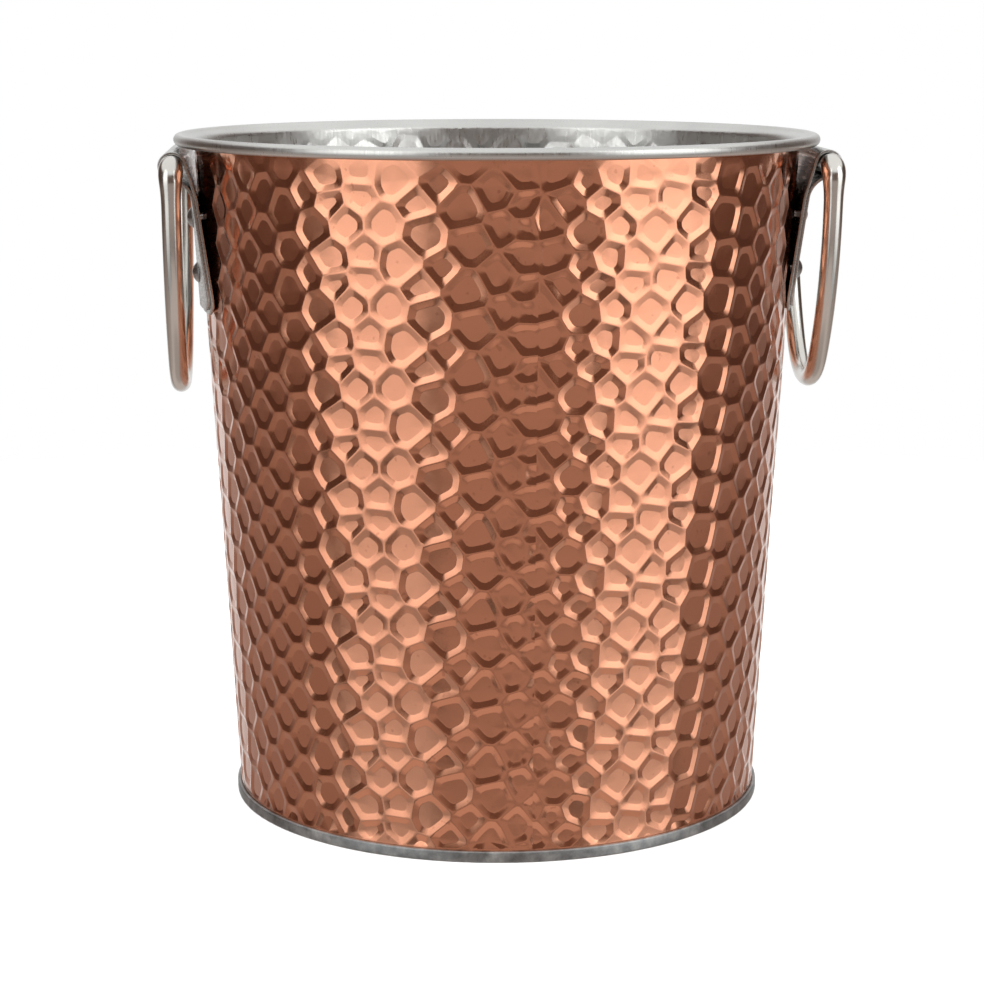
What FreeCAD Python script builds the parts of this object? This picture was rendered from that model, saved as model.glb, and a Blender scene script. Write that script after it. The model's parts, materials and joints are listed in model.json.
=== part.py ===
import FreeCAD, Part

# A tapered sheet-metal ice bucket with a wired rim, a double-seamed bottom and two swinging
# ring handles.  Each handle hangs in a folded sheet bracket that four rivets hold to the wall.
# Millimetres, +Z up, origin on the resting plane under the middle of the bottom.
# The handles are at +X and -X, and the wall's lap seam is at -Y.

import math
import os

import Sketcher

Vector = FreeCAD.Vector

DIMENSIONS = {
    # overall
    "overall_height": 225.0,
    "rim_radius": 107.5,
    "sheet": 0.38,
    # tapered wall
    "foot_radius": 89.06,
    "flare_radius": 100.45,
    "flare_height": 216.5,
    "lap_angle": 6.2,
    # wired rim
    "bead_radius": 1.95,
    "wire_radius": 1.54,
    # double seam and bottom
    "seam_height": 3.6,
    "seam_gap": 0.03,
    "hook_bottom": 1.5,
    "panel_height": 4.4,
    "panel_step": 1.2,
    "step_radius": 68.0,
    "step_run": 3.0,
    # handle bracket
    "bracket_sheet": 0.95,
    "bracket_width": 60.0,
    "barrel_radius": 4.6,
    "throat_radius": 8.0,
    "inner_leaf_bottom": 167.0,
    "outer_leaf_bottom": 168.5,
    "leaf_flatness": 0.6,
    "leaf_corner": 6.0,
    "leaf_gap": 0.05,
    # ring handle
    "rod_radius": 3.15,
    "pivot_reach": 106.6,
    "pivot_height": 215.6,
    "ring_half_width": 39.0,
    "ring_drop": 74.0,
    "ring_foot_radius": 24.0,
    "ring_corner": 5.0,
    "knuckle_radius": 3.95,
    # rivets
    "rivet_radius": 1.6,
    "rivet_head_radius": 3.4,
    "rivet_head_height": 1.9,
    "rivet_tail_radius": 2.7,
    "rivet_tail_height": 0.8,
    "rivet_fit": 0.05,
    "rivet_spread": 15.0,
    "rivet_upper": 198.2,
    "rivet_lower": 180.2,
}

# Formulas of the sheet's cells that several features share.
BEAD_CENTRE = "(Dimensions.rim_radius - Dimensions.bead_radius)"
BEAD_LEVEL = "(Dimensions.overall_height - Dimensions.bead_radius)"
LAYER = "(Dimensions.sheet + Dimensions.seam_gap)"
FOOT = "Dimensions.foot_radius"
SHEET = "Dimensions.sheet"
SIDE_RISE = "(Dimensions.ring_drop - Dimensions.ring_foot_radius - Dimensions.ring_corner)"
SIDE_RADIUS = (
    f"((Dimensions.ring_half_width^2 + {SIDE_RISE}^2 - Dimensions.ring_foot_radius^2)"
    " / (2 * (Dimensions.ring_half_width - Dimensions.ring_foot_radius)))"
)
SIDE_ANGLE = f"atan({SIDE_RISE} / ({SIDE_RADIUS} - Dimensions.ring_half_width))"

doc = FreeCAD.newDocument("IceBucket")
pieces = []


def make_sheet():
    """The spreadsheet of driving dimensions."""
    sheet = doc.addObject("Spreadsheet::Sheet", "Dimensions")
    for row, (alias, value) in enumerate(DIMENSIONS.items(), start=1):
        sheet.set(f"A{row}", alias)
        sheet.set(f"B{row}", str(value))
        sheet.setAlias(f"B{row}", alias)
    doc.recompute()
    return sheet


dimensions = make_sheet()


def size(alias):
    """One driving dimension, as a plain number."""
    return float(getattr(dimensions, alias))


def worked_out(formula):
    """The value of a formula of the sheet's cells."""
    value = dimensions.evalExpression(formula)
    return float(getattr(value, "Value", value))


def wall_radius(z):
    """Radius of the wall's outer face at height z, below the flare."""
    slope = (size("flare_radius") - size("foot_radius")) / (size("flare_height") - size("seam_height"))
    return size("foot_radius") + slope * (z - size("seam_height"))


def wall_tilt():
    """Angle of the wall from the vertical, in degrees."""
    rise = size("flare_height") - size("seam_height")
    return math.degrees(math.atan2(size("flare_radius") - size("foot_radius"), rise))


# ---- helpers for revolved bodies -------------------------------------------------------------


def origin_plane(body, role):
    for feature in body.Origin.OriginFeatures:
        if feature.Role == role:
            return feature
    raise ValueError(role)


def new_sketch(body, name, plane):
    sketch = body.newObject("Sketcher::SketchObject", name)
    sketch.AttachmentSupport = [(origin_plane(body, plane), "")]
    sketch.MapMode = "FlatFace"
    return sketch


def polygon_sketch(body, name, plane, corners):
    """A closed outline whose corners are pairs of formulas of the sheet's cells."""
    sketch = new_sketch(body, name, plane)
    places = [Vector(worked_out(across), worked_out(up), 0) for across, up in corners]
    count = len(places)
    for index in range(count):
        sketch.addGeometry(Part.LineSegment(places[index], places[(index + 1) % count]), False)
    for index in range(count):
        sketch.addConstraint(Sketcher.Constraint("Coincident", index, 2, (index + 1) % count, 1))
    for index, (across, up) in enumerate(corners):
        for kind, formula, value in (
            ("DistanceX", across, places[index].x),
            ("DistanceY", up, places[index].y),
        ):
            constraint = Sketcher.Constraint(kind, -1, 1, index, 1, value)
            number = sketch.addConstraint(constraint)
            sketch.setExpression(f"Constraints[{number}]", formula)
    doc.recompute()
    return sketch


def revolve(body, name, sketch, angle="360"):
    turn = body.newObject("PartDesign::Revolution", name)
    turn.Profile = sketch
    turn.ReferenceAxis = (sketch, ["V_Axis"])
    turn.Midplane = True
    turn.setExpression("Angle", angle)
    doc.recompute()
    return turn


def name_piece(feature, label):
    feature.Label = label
    pieces.append(feature)
    return feature


# ---- wall, rim wire, bottom and seam ---------------------------------------------------------


def add_bead_curl(body):
    """The sheet's top edge rolled outwards round the rim wire, open where its edge tucks in."""
    sketch = new_sketch(body, "curl_section", "XZ_Plane")
    centre = Vector(worked_out(BEAD_CENTRE), worked_out(BEAD_LEVEL), 0)
    radii = ("Dimensions.bead_radius", f"Dimensions.bead_radius - {SHEET}")
    for index, radius in enumerate(radii):
        circle = Part.Circle(centre, Vector(0, 0, 1), worked_out(radius))
        sketch.addGeometry(circle, False)
        for kind, formula in (("DistanceX", BEAD_CENTRE), ("DistanceY", BEAD_LEVEL)):
            constraint = Sketcher.Constraint(kind, -1, 1, index, 3, worked_out(formula))
            number = sketch.addConstraint(constraint)
            sketch.setExpression(f"Constraints[{number}]", formula)
        number = sketch.addConstraint(Sketcher.Constraint("Radius", index, worked_out(radius)))
        sketch.setExpression(f"Constraints[{number}]", radius)
    doc.recompute()
    revolve(body, "bead_curl", sketch)
    slit = [
        (f"{BEAD_CENTRE} - 0.3 * Dimensions.bead_radius", f"{BEAD_LEVEL} - 0.5 * Dimensions.bead_radius"),
        (f"{BEAD_CENTRE} - 0.6 * Dimensions.bead_radius", f"{BEAD_LEVEL} - 1.4 * Dimensions.bead_radius"),
        (f"{BEAD_CENTRE} - 0.1 * Dimensions.bead_radius", f"{BEAD_LEVEL} - 1.4 * Dimensions.bead_radius"),
    ]
    before = body.Shape.Volume
    groove = body.newObject("PartDesign::Groove", "curl_slit")
    groove.Profile = polygon_sketch(body, "slit_section", "XZ_Plane", slit)
    groove.ReferenceAxis = (groove.Profile[0], ["V_Axis"])
    groove.Angle = 360
    doc.recompute()
    if not body.Shape.Volume < before:
        raise RuntimeError("the curl's slit cut nothing")


def make_wall():
    """One rolled sheet: cone, outward body hook at the foot, curl at the rim, inner lap strip."""
    body = doc.addObject("PartDesign::Body", "wall_blank")
    hook_outer = f"{FOOT} + 2 * {LAYER}"
    hook_inner = f"{hook_outer} - {SHEET}"
    hook_top = f"Dimensions.seam_height - {LAYER}"
    neck_inner = f"{BEAD_CENTRE} - Dimensions.bead_radius"
    outline = [
        (f"{FOOT} - {SHEET}", LAYER),
        (hook_outer, LAYER),
        (hook_outer, hook_top),
        (hook_inner, hook_top),
        (hook_inner, f"{LAYER} + {SHEET}"),
        (FOOT, f"{LAYER} + {SHEET}"),
        (FOOT, "Dimensions.seam_height"),
        ("Dimensions.flare_radius", "Dimensions.flare_height"),
        (f"{neck_inner} + {SHEET}", BEAD_LEVEL),
        (neck_inner, BEAD_LEVEL),
        (f"Dimensions.flare_radius - {SHEET}", "Dimensions.flare_height"),
        (f"{FOOT} - {SHEET}", "Dimensions.seam_height"),
    ]
    revolve(body, "cone", polygon_sketch(body, "wall_section", "XZ_Plane", outline))
    lap_foot = f"{FOOT} - {SHEET}"
    lap_head = f"Dimensions.flare_radius - {SHEET}"
    lap_bottom = "Dimensions.seam_height + Dimensions.panel_height"
    rise = "(Dimensions.flare_radius - Dimensions.foot_radius)"
    climb = "(Dimensions.flare_height - Dimensions.seam_height)"
    lap_start = f"{lap_foot} + {rise} / {climb} * Dimensions.panel_height"
    lap = [
        (f"0 - ({lap_start})", lap_bottom),
        (f"0 - ({lap_head})", "Dimensions.flare_height"),
        (f"0 - ({lap_head} - {SHEET})", "Dimensions.flare_height"),
        (f"0 - ({lap_start} - {SHEET})", lap_bottom),
    ]
    lap_sketch = polygon_sketch(body, "lap_section", "YZ_Plane", lap)
    revolve(body, "lap_strip", lap_sketch, "Dimensions.lap_angle")
    add_bead_curl(body)
    return body


def make_rim_wire():
    wire = doc.addObject("Part::Torus", "rim_wire")
    wire.setExpression("Radius1", BEAD_CENTRE)
    wire.setExpression("Radius2", "Dimensions.wire_radius")
    wire.setExpression("Placement.Base.z", BEAD_LEVEL)
    name_piece(wire, "rim_wire")


def make_base_pan():
    """The recessed bottom, whose edge folds up, over and down round the wall's hook."""
    body = doc.addObject("PartDesign::Body", "base_pan")
    band_outer = f"{FOOT} + 3 * {LAYER}"
    chuck = f"{FOOT} - {LAYER}"
    panel = "Dimensions.panel_height"
    raised = f"{panel} + Dimensions.panel_step"
    fold_top = f"Dimensions.seam_height - {SHEET}"
    cover_inner = f"{FOOT} + Dimensions.seam_gap"
    outline = [
        ("0", raised),
        ("Dimensions.step_radius - Dimensions.step_run", raised),
        ("Dimensions.step_radius", panel),
        (f"{chuck} - {SHEET}", panel),
        (f"{chuck} - {SHEET}", "0"),
        (band_outer, "0"),
        (band_outer, "Dimensions.seam_height"),
        (cover_inner, "Dimensions.seam_height"),
        (cover_inner, "Dimensions.hook_bottom"),
        (f"{cover_inner} + {SHEET}", "Dimensions.hook_bottom"),
        (f"{cover_inner} + {SHEET}", fold_top),
        (f"{band_outer} - {SHEET}", fold_top),
        (f"{band_outer} - {SHEET}", SHEET),
        (chuck, SHEET),
        (chuck, f"{panel} + {SHEET}"),
        ("Dimensions.step_radius", f"{panel} + {SHEET}"),
        ("Dimensions.step_radius - Dimensions.step_run", f"{raised} + {SHEET}"),
        ("0", f"{raised} + {SHEET}"),
    ]
    revolve(body, "pan", polygon_sketch(body, "pan_section", "XZ_Plane", outline))
    name_piece(body, "base_pan")


def make_seam_sealant():
    """The sealing compound between the wall's hook and the edge of the bottom's fold."""
    body = doc.addObject("PartDesign::Body", "seam_sealant")
    inner = f"{FOOT} + Dimensions.seam_gap"
    outer = f"{FOOT} + {LAYER}"
    bottom = f"{LAYER} + {SHEET} + Dimensions.seam_gap"
    top = "Dimensions.hook_bottom - Dimensions.seam_gap"
    outline = [(inner, bottom), (outer, bottom), (outer, top), (inner, top)]
    revolve(body, "ring", polygon_sketch(body, "sealant_section", "XZ_Plane", outline))
    name_piece(body, "seam_sealant")


# ---- handle brackets -------------------------------------------------------------------------


def at_angle(centre, radius, angle):
    """The point at a radius and angle from a centre, in a section plane of X and Z."""
    return Vector(centre.x + radius * math.cos(angle), centre.y, centre.z + radius * math.sin(angle))


def arc(centre, radius, start, end):
    middle = at_angle(centre, radius, (start + end) / 2)
    return Part.Arc(at_angle(centre, radius, start), middle, at_angle(centre, radius, end)).toShape()


def line(start, end):
    return Part.LineSegment(start, end).toShape()


def stand_off(y, z):
    """How far the inner leaf stands off the wall: it follows the wall at its foot and is flat above."""
    radius, foot = wall_radius(z), size("inner_leaf_bottom")
    rise = (z - foot) / (size("rivet_upper") - foot)
    return size("leaf_flatness") * rise * (radius - math.sqrt(radius**2 - y**2))


def leaf_line(y):
    """In the plane at y: the foot of the inner leaf's back, its way up, and its way outward."""

    def back(z):
        reach = math.sqrt((wall_radius(z) + size("seam_gap")) ** 2 - y**2)
        return Vector(reach + stand_off(y, z), y, z)

    low = back(size("inner_leaf_bottom"))
    up = (back(size("rivet_upper")) - low).normalize()
    return low, up, Vector(up.z, 0, -up.x)


def bracket_section(y):
    """The folded strip in the plane at y: up the wall, round the handle's bar, and down again."""
    strip = size("bracket_sheet")
    barrel = size("barrel_radius")
    throat = size("throat_radius")
    gap = size("leaf_gap")
    bar = Vector(size("pivot_reach"), y, size("pivot_height"))
    low, up, outward = leaf_line(y)
    inner_back = throat + 2 * strip + gap
    # The throat's centre lies beside the leaves, where its arc meets the barrel's.
    base = low + outward * inner_back - bar
    reach = barrel + throat
    along = -base.dot(up) - math.sqrt(base.dot(up) ** 2 - base.Length**2 + reach**2)
    throat_centre = low + outward * inner_back + up * along
    to_bar = bar - throat_centre
    toward_bar = math.atan2(to_bar.z, to_bar.x)
    leaf_side = math.atan2(-outward.z, -outward.x)
    leaf_side += 2 * math.pi if leaf_side < 0 else 0
    leaning = toward_bar + math.acos((inner_back - barrel) / reach)
    from_bar = toward_bar - math.pi

    def leaf_foot(radius, bottom):
        top = at_angle(throat_centre, radius, leaf_side)
        return top + up * ((bottom - top.z) / up.z)

    inner_bottom = size("inner_leaf_bottom")
    outer_bottom = size("outer_leaf_bottom")
    inner_front = inner_back - strip
    outer_back = throat + strip
    edges = [
        line(leaf_foot(inner_back, inner_bottom), at_angle(throat_centre, inner_back, leaf_side)),
        arc(throat_centre, inner_back, leaf_side, leaning),
        line(at_angle(throat_centre, inner_back, leaning), at_angle(bar, barrel, leaning)),
        arc(bar, barrel, leaning, from_bar),
        arc(throat_centre, throat, toward_bar, leaf_side),
        line(at_angle(throat_centre, throat, leaf_side), leaf_foot(throat, outer_bottom)),
        line(leaf_foot(throat, outer_bottom), leaf_foot(outer_back, outer_bottom)),
        line(leaf_foot(outer_back, outer_bottom), at_angle(throat_centre, outer_back, leaf_side)),
        arc(throat_centre, outer_back, leaf_side, toward_bar),
        arc(bar, barrel - strip, from_bar, leaning),
        line(at_angle(bar, barrel - strip, leaning), at_angle(throat_centre, inner_front, leaning)),
        arc(throat_centre, inner_front, leaning, leaf_side),
        line(at_angle(throat_centre, inner_front, leaf_side), leaf_foot(inner_front, inner_bottom)),
        line(leaf_foot(inner_front, inner_bottom), leaf_foot(inner_back, inner_bottom)),
    ]
    return Part.Wire(edges)


def corner_cutter(side):
    """A bar along X that rounds one lower corner of both leaves."""
    radius = size("leaf_corner")
    edge = side * size("bracket_width") / 2
    bottom = size("inner_leaf_bottom")
    near, past = edge - side * radius, edge + side
    level, below = bottom + radius, bottom - 1
    turn = math.radians(45)
    middle = Vector(0, near + side * radius * math.sin(turn), level - radius * math.cos(turn))
    round_edge = Part.Arc(Vector(0, edge, level), middle, Vector(0, near, bottom)).toShape()
    outline = [
        round_edge,
        line(Vector(0, near, bottom), Vector(0, near, below)),
        line(Vector(0, near, below), Vector(0, past, below)),
        line(Vector(0, past, below), Vector(0, past, level)),
        line(Vector(0, past, level), Vector(0, edge, level)),
    ]
    return Part.Face(Part.Wire(outline)).extrude(Vector(2 * size("rim_radius"), 0, 0))


def make_bracket(label, turn):
    """A folded sheet bracket, lofted across its width so that its leaves follow the wall."""
    half = size("bracket_width") / 2
    steps = 6
    sections = [bracket_section(half * (2 * step / steps - 1)) for step in range(steps + 1)]
    shape = Part.makeLoft(sections, True, False)
    for side in (-1, 1):
        shape = shape.cut(corner_cutter(side))
    radius = size("rivet_radius") + size("rivet_fit")
    for place, _ in rivet_places(0).values():
        hole = Part.makeCylinder(radius, 4 * size("barrel_radius"))
        hole.Placement = place.multiply(FreeCAD.Placement(Vector(0, 0, -2), FreeCAD.Rotation()))
        shape = shape.cut(hole)
    bracket = doc.addObject("Part::Feature", label)
    bracket.Shape = shape
    bracket.Placement = FreeCAD.Placement(Vector(), FreeCAD.Rotation(Vector(0, 0, 1), turn))
    name_piece(bracket, label)


# ---- rivets ----------------------------------------------------------------------------------


def rivet_places(turn):
    """Where each rivet of the bracket at an angle goes, square to the leaves, and its extra grip."""
    places = {}
    leaves = 2 * size("bracket_sheet") + size("leaf_gap")
    spin = FreeCAD.Placement(Vector(), FreeCAD.Rotation(Vector(0, 0, 1), turn))

    def seat(y, z):
        low, up, outward = leaf_line(y)
        return low + outward * leaves + up * ((z - low.z) / up.z)

    for level in ("upper", "lower"):
        height = size(f"rivet_{level}")
        for end, side in (("front", -1), ("back", 1)):
            across = side * size("rivet_spread") * (1 if turn == 0 else -1)
            along = seat(across + 0.5, height) - seat(across - 0.5, height)
            normal = along.cross(leaf_line(across)[1]).normalize()
            foot = seat(across, height) - normal * (leaves + size("seam_gap"))
            azimuth, tilt = math.asin(across / wall_radius(height)), math.radians(wall_tilt())
            flat = math.cos(tilt)
            square = Vector(flat * math.cos(azimuth), flat * math.sin(azimuth), -math.sin(tilt))
            slack = stand_off(across, height) + size("rivet_tail_radius") * math.tan(normal.getAngle(square))
            place = FreeCAD.Placement(foot, FreeCAD.Rotation(Vector(0, 0, 1), normal))
            places[f"{level}_{end}"] = (spin.multiply(place), slack)
    return places


def make_rivet(label, place, slack):
    """A round-head rivet along its own Z, whose zero is at the back of the inner leaf."""
    stack = "(2 * Dimensions.bracket_sheet + Dimensions.leaf_gap + 2 * Dimensions.seam_gap)"
    grip = f"({SHEET} + 2 * Dimensions.seam_gap + {slack:.3f})"
    dome = (
        "((Dimensions.rivet_head_radius^2 + Dimensions.rivet_head_height^2)"
        " / (2 * Dimensions.rivet_head_height))"
    )
    head = doc.addObject("Part::Sphere", f"{label}_head")
    head.setExpression("Radius", dome)
    head.setExpression("Angle1", f"asin(1 - Dimensions.rivet_head_height / {dome})")
    head.setExpression("Placement.Base.z", f"{stack} + Dimensions.rivet_head_height - {dome}")
    shank = doc.addObject("Part::Cylinder", f"{label}_shank")
    shank.setExpression("Radius", "Dimensions.rivet_radius")
    shank.setExpression("Height", f"{stack} + {grip} + Dimensions.rivet_fit")
    shank.setExpression("Placement.Base.z", f"0 - {grip}")
    tail = doc.addObject("Part::Cylinder", f"{label}_tail")
    tail.setExpression("Radius", "Dimensions.rivet_tail_radius")
    tail.setExpression("Height", "Dimensions.rivet_tail_height")
    tail.setExpression("Placement.Base.z", f"0 - {grip} - Dimensions.rivet_tail_height")
    rivet = doc.addObject("Part::MultiFuse", label)
    rivet.Shapes = [head, shank, tail]
    rivet.Placement = place
    name_piece(rivet, label)


def rivet_hole(name, place):
    hole = doc.addObject("Part::Cylinder", name)
    hole.setExpression("Radius", "Dimensions.rivet_radius + Dimensions.rivet_fit")
    hole.setExpression("Height", "2 * Dimensions.barrel_radius")
    middle = FreeCAD.Placement(Vector(0, 0, -size("barrel_radius")), FreeCAD.Rotation())
    hole.Placement = place.multiply(middle)
    return hole


# ---- ring handles ----------------------------------------------------------------------------


def ring_torus(name, radius, sweep, start, toward):
    """A stretch of bent rod that leaves one direction of the ring's plane towards another."""
    bend = doc.addObject("Part::Torus", name)
    bend.setExpression("Radius1", radius)
    bend.setExpression("Radius2", "Dimensions.rod_radius")
    bend.setExpression("Angle3", sweep)
    axes = FreeCAD.Rotation(start, toward, start.cross(toward), "XYZ")
    bend.Placement = FreeCAD.Placement(Vector(), axes)
    return bend


def make_ring(label, side):
    """A ring bent from rod: a straight bar, two tight corners, and two legs that meet below."""
    along, up = Vector(0, 1, 0), Vector(0, 0, 1)
    bar = doc.addObject("Part::Cylinder", f"{label}_bar")
    bar.setExpression("Radius", "Dimensions.rod_radius")
    bar.setExpression("Height", "Dimensions.ring_half_width - Dimensions.ring_corner")
    bar.Placement = FreeCAD.Placement(Vector(), FreeCAD.Rotation(up, along))
    corner = ring_torus(f"{label}_corner", "Dimensions.ring_corner", "90", along, up)
    corner.setExpression("Placement.Base.y", "Dimensions.ring_half_width - Dimensions.ring_corner")
    corner.setExpression("Placement.Base.z", "0 - Dimensions.ring_corner")
    leg = ring_torus(f"{label}_leg", SIDE_RADIUS, SIDE_ANGLE, along, -up)
    leg.setExpression("Placement.Base.y", f"Dimensions.ring_half_width - {SIDE_RADIUS}")
    leg.setExpression("Placement.Base.z", "0 - Dimensions.ring_corner")
    foot = ring_torus(f"{label}_foot", "Dimensions.ring_foot_radius", f"90 deg - {SIDE_ANGLE}", -up, along)
    foot.setExpression("Placement.Base.z", "Dimensions.ring_foot_radius - Dimensions.ring_drop")
    knuckle = doc.addObject("Part::Sphere", f"{label}_knuckle")
    knuckle.setExpression("Radius", "Dimensions.knuckle_radius")
    inset = "(Dimensions.ring_corner * (1 - sin(45)))"
    knuckle.setExpression("Placement.Base.y", f"Dimensions.ring_half_width - {inset}")
    knuckle.setExpression("Placement.Base.z", f"0 - {inset}")
    half = doc.addObject("Part::MultiFuse", f"{label}_half")
    half.Shapes = [bar, corner, leg, foot, knuckle]
    other = doc.addObject("Part::Mirroring", f"{label}_other_half")
    other.Source = half
    other.Normal = along
    ring = doc.addObject("Part::MultiFuse", label)
    ring.Shapes = [half, other]
    ring.Refine = True
    turn = FreeCAD.Rotation(up, 0 if side > 0 else 180)
    ring.Placement = FreeCAD.Placement(Vector(), turn)
    ring.setExpression("Placement.Base.x", f"{side} * Dimensions.pivot_reach")
    ring.setExpression("Placement.Base.z", "Dimensions.pivot_height")
    name_piece(ring, label)


# ---- assembly --------------------------------------------------------------------------------


def build():
    wall_blank = make_wall()
    holes = []
    for hand, turn in (("right", 0), ("left", 180)):
        make_bracket(f"bracket_{hand}", turn)
        make_ring(f"ring_handle_{hand}", 1 if hand == "right" else -1)
        for spot, (place, slack) in rivet_places(turn).items():
            make_rivet(f"rivet_{hand}_{spot}", place, slack)
            holes.append(rivet_hole(f"hole_{hand}_{spot}", place))
    tools = doc.addObject("Part::MultiFuse", "rivet_holes")
    tools.Shapes = holes
    wall = doc.addObject("Part::Cut", "side_wall")
    wall.Base = wall_blank
    wall.Tool = tools
    name_piece(wall, "side_wall")
    make_rim_wire()
    make_base_pan()
    make_seam_sealant()
    doc.recompute()


def check():
    for feature in doc.Objects:
        if "Invalid" in feature.State or "Error" in feature.State:
            raise RuntimeError(f"{feature.Name} failed: {feature.State}")
    for piece in pieces:
        shape = piece.Shape
        if shape.isNull() or not shape.isValid() or len(shape.Solids) != 1:
            raise RuntimeError(f"{piece.Label} isn't one valid solid")


def export():
    os.makedirs("parts", exist_ok=True)
    for piece in pieces:
        piece.Shape.exportStep(f"parts/{piece.Label}.step")
        box = piece.Shape.BoundBox
        print(f"{piece.Label}: {box.XLength:.1f} x {box.YLength:.1f} x {box.ZLength:.1f} mm")


build()
check()
export()
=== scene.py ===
import json
import math

import bmesh
import bpy
import numpy as np
from mathutils import Matrix, Vector


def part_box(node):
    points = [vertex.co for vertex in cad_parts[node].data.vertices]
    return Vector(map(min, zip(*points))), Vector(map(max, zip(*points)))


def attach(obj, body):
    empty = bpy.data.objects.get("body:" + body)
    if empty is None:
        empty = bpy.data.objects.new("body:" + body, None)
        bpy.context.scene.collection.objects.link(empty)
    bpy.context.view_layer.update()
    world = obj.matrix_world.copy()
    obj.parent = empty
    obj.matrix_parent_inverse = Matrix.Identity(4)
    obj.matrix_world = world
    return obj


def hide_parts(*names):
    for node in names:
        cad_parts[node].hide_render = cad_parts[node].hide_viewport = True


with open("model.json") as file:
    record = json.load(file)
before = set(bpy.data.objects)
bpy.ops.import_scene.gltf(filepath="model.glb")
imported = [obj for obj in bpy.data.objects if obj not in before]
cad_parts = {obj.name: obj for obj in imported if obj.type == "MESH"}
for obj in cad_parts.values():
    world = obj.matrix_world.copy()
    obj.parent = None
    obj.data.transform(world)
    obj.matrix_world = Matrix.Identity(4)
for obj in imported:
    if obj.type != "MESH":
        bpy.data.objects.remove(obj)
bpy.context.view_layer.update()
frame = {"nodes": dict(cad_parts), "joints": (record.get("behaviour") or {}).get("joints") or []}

MM = 0.001

# ---- sizes, in metres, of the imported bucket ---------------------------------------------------

_, WALL_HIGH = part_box("side_wall")
_, PAN_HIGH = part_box("base_pan")
RIM_RADIUS = WALL_HIGH[0]
HEIGHT = WALL_HIGH[2]
SHEET = 0.38 * MM
SEAM_GAP = 0.03 * MM
LAYER = SHEET + SEAM_GAP
BAND_RADIUS = PAN_HIGH[0]
FOOT_RADIUS = BAND_RADIUS - 3 * LAYER
SEAM_HEIGHT = 3.6 * MM
CONE_TOP_RADIUS = 100.45 * MM
CONE_TOP_HEIGHT = 216.5 * MM
BEAD = 1.95 * MM  # outer radius of the curl round the rim wire
BEAD_CENTRE = RIM_RADIUS - BEAD
BEAD_LEVEL = HEIGHT - BEAD
PIVOTS = {joint["child"]: Vector(joint["pos_m"]) for joint in frame["joints"]}
PIVOT_REACH = abs(PIVOTS["handle_right"].x)
PIVOT_HEIGHT = PIVOTS["handle_right"].z

# ---- the pressed pattern ----------------------------------------------------------------------

MEAN_RADIUS = 95.0 * MM
EMBOSS_DEPTH = 0.49 * MM
# Distances inside a dimple's outline where its bevel starts to ease in, runs straight and ends.
WEB_EDGE, CHAMFER_START, CHAMFER_STOP, FLOOR_EDGE = 0.05 * MM, 0.30 * MM, 1.90 * MM, 2.20 * MM
PATTERN_RUN, PATTERN_RISE = 204.5 * MM, 25.05 * MM
# As they rise, the pattern's columns lean away from the lap: by this angle, in radians, for each
# radian from the back.
CURVE_SINE = 0.0125
FLAT_APEX = MEAN_RADIUS / CURVE_SINE
CORNER_SHARPNESS = 1600.0
SIZE_MARGIN = 2.0 * MM
NEIGHBOUR_REACH = 18.0 * MM
CELL_REACH = 20.0 * MM
POINTS_AT_ONCE = 20000
SHORT_EDGE, LONG_EDGE = 1.4 * MM, 3.2 * MM
FLOOR_ROOM = 0.92
BISECTIONS = 26
WELD = 0.02 * MM
WAVE_HEIGHT = 0.012 * MM
EMBOSS_BOTTOM, EMBOSS_TOP = 4.3 * MM, 221.6 * MM
PLAIN_FROM, FULL_BELOW = 220.5 * MM, 213.5 * MM

# The lap: the layers' width and steps, and how much of its own and the other layer's pattern
# the over layer and the under layer show there.
LAP = 11.0 * MM
LAP_DROP = 0.43 * MM
LAP_BLEND = 5.0 * MM
BEAD_STEP = 0.05 * MM
OVER_LOSS, UNDER_LOSS = 0.1, 0.7
OVER_GAIN, UNDER_GAIN = 0.3, 0.9

# The rim: where the curl starts and ends round the wire, and the fold between wall and curl.
CURL_START, CURL_END = math.radians(135), math.radians(-150)
FLANGE_RISE, FLANGE_REACH, FLANGE_LEAN = 1.7 * MM, 1.3 * MM, 0.08
FLANGE_SHARES = (0.16, 0.32, 0.46, 0.6, 0.8)

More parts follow.
